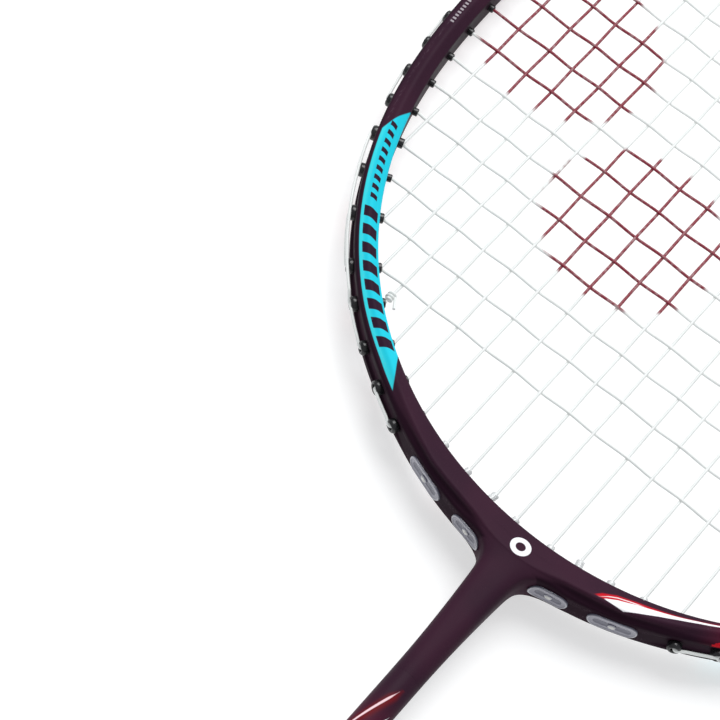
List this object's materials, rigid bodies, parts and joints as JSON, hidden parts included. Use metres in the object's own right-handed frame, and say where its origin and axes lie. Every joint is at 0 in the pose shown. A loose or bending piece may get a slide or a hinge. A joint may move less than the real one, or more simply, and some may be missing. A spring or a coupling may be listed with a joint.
{
  "type": "badminton racket",
  "caption": "Strung badminton racket: isometric oval hoop with grommets and throat pads, T joint, slim round shaft, cone and an octagonal wrapped grip with a butt cap.",
  "frame": {"origin": "centre of the butt cap's end face, on the shaft's axis and in the plane of the strings", "axes": "+Y runs up the shaft from the butt to the tip of the head, +X across the head, and +Z is normal to the string bed, out of the hitting face"},
  "size_m": [0.1884, 0.6771, 0.0274],
  "materials": {
    "frame_paint": "satin dark plum paint over carbon composite, with cyan, white and red panels",
    "shaft_paint": "satin dark plum paint over a carbon tube, with maroon, red and white panels",
    "cone_paint": "moulded plastic painted dark plum, satin",
    "string_nylon": "braided nylon multifilament with a smooth coating, white with a red stencil",
    "grommet_nylon": "glossy black moulded nylon",
    "clear_pad": "clear moulded polyurethane",
    "handle_wood": "sanded, unpainted",
    "grip_wrap": "perforated synthetic leather grip, matt black",
    "finishing_tape": "vinyl tape, semi-gloss black",
    "butt_plastic": "moulded ABS, fine texture",
    "badge_metal": "brushed disc, no mark"
  },
  "bodies": {
    "root": {"butt_badge": "badge_metal", "butt_cap": "butt_plastic", "cross_string": "string_nylon", "finishing_tape": "finishing_tape", "grip_wrap": "grip_wrap", "grommet_left_cross_1": "grommet_nylon", "grommet_left_cross_10_11": "grommet_nylon", "grommet_left_cross_12_13": "grommet_nylon", "grommet_left_cross_14_15": "grommet_nylon", "grommet_left_cross_16_17": "grommet_nylon", "grommet_left_cross_18_19": "grommet_nylon", "grommet_left_cross_2": "grommet_nylon", "grommet_left_cross_20_21": "grommet_nylon", "grommet_left_cross_22": "grommet_nylon", "grommet_left_cross_3": "grommet_nylon", "grommet_left_cross_4": "grommet_nylon", "grommet_left_cross_5": "grommet_nylon", "grommet_left_cross_6_7": "grommet_nylon", "grommet_left_cross_8_9": "grommet_nylon", "grommet_left_throat_main_5": "grommet_nylon", "grommet_left_throat_main_6": "grommet_nylon", "grommet_left_throat_main_7": "grommet_nylon", "grommet_left_throat_main_8": "grommet_nylon", "grommet_left_tip_main_1": "grommet_nylon", "grommet_left_tip_main_3_2": "grommet_nylon", "grommet_left_tip_main_5_4": "grommet_nylon", "grommet_left_tip_main_7_6": "grommet_nylon", "grommet_right_cross_1": "grommet_nylon", "grommet_right_cross_10_11": "grommet_nylon", "grommet_right_cross_12_13": "grommet_nylon", "grommet_right_cross_14_15": "grommet_nylon", "grommet_right_cross_16_17": "grommet_nylon", "grommet_right_cross_18_19": "grommet_nylon", "grommet_right_cross_2": "grommet_nylon", "grommet_right_cross_20_21": "grommet_nylon", "grommet_right_cross_22": "grommet_nylon", "grommet_right_cross_3": "grommet_nylon", "grommet_right_cross_4": "grommet_nylon", "grommet_right_cross_5": "grommet_nylon", "grommet_right_cross_6_7": "grommet_nylon", "grommet_right_cross_8_9": "grommet_nylon", "grommet_right_throat_main_5": "grommet_nylon", "grommet_right_throat_main_6": "grommet_nylon", "grommet_right_throat_main_7": "grommet_nylon", "grommet_right_throat_main_8": "grommet_nylon", "grommet_right_tip_main_1": "grommet_nylon", "grommet_right_tip_main_3_2": "grommet_nylon", "grommet_right_tip_main_5_4": "grommet_nylon", "grommet_right_tip_main_7_6": "grommet_nylon", "handle_cone": "cone_paint", "handle_core": "handle_wood", "head_frame": "frame_paint", "main_string": "string_nylon", "shaft": "shaft_paint", "throat_pad_left_1_2": "clear_pad", "throat_pad_left_3_4": "clear_pad", "throat_pad_right_1_2": "clear_pad", "throat_pad_right_3_4": "clear_pad"}
  },
  "joints": []
}
